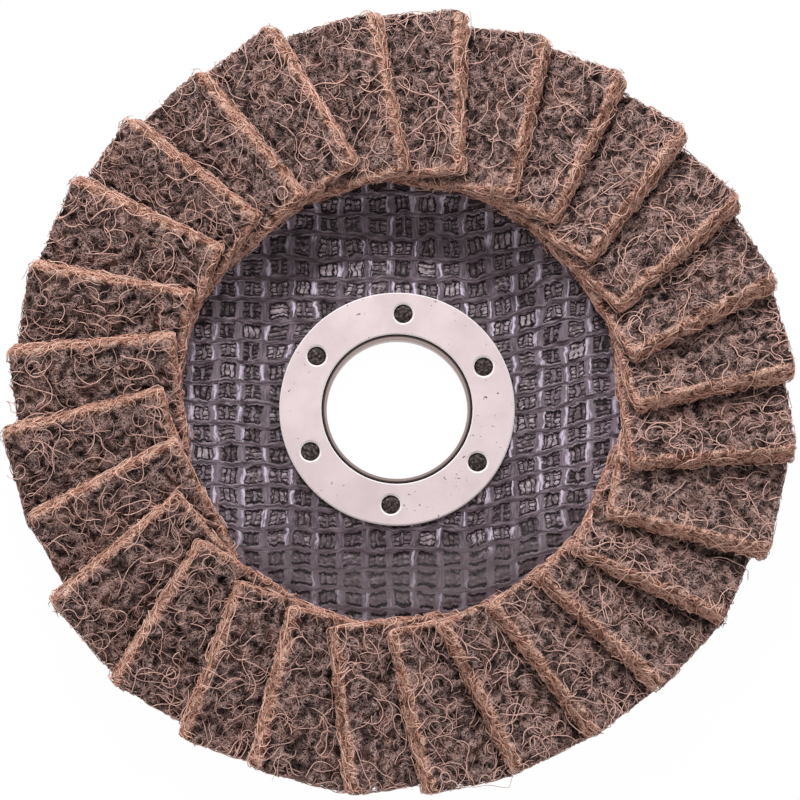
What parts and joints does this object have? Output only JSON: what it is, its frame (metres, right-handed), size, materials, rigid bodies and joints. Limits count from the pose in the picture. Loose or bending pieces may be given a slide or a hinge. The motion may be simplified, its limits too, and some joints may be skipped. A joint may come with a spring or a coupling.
{
  "type": "flap disc",
  "caption": "Abrasive flap disc for an angle grinder: overlapping brown fibre-web flaps bonded round a depressed-centre resin and glass plate with a steel arbor ring.",
  "frame": {"origin": "on the arbor bore's axis, in the plane of the rear flange's back face, on which the disc rests", "axes": "+Z along the bore, from the grinder's side towards the working side; +X and +Y in the disc's plane, +Y near the first flap"},
  "size_m": [0.1238, 0.1235, 0.0157],
  "materials": {
    "steel": "satin, with small pits",
    "plate": "glossy black resin over open woven glass cloth",
    "adhesive": "cured, dull",
    "web": "matted curly brown fibre with dark grit, cut edges orange-brown"
  },
  "bodies": {
    "root": {"backing_plate": "plate", "eyelet": "steel", "front_ring": "steel", "adhesive_bed": "adhesive", "flap_01": "web", "flap_02": "web", "flap_03": "web", "flap_04": "web", "flap_05": "web", "flap_06": "web", "flap_07": "web", "flap_08": "web", "flap_09": "web", "flap_10": "web", "flap_11": "web", "flap_12": "web", "flap_13": "web", "flap_14": "web", "flap_15": "web", "flap_16": "web", "flap_17": "web", "flap_18": "web", "flap_19": "web", "flap_20": "web", "flap_21": "web", "flap_22": "web", "flap_23": "web", "flap_24": "web", "flap_25": "web", "flap_26": "web", "flap_27": "web", "flap_28": "web"}
  },
  "joints": []
}
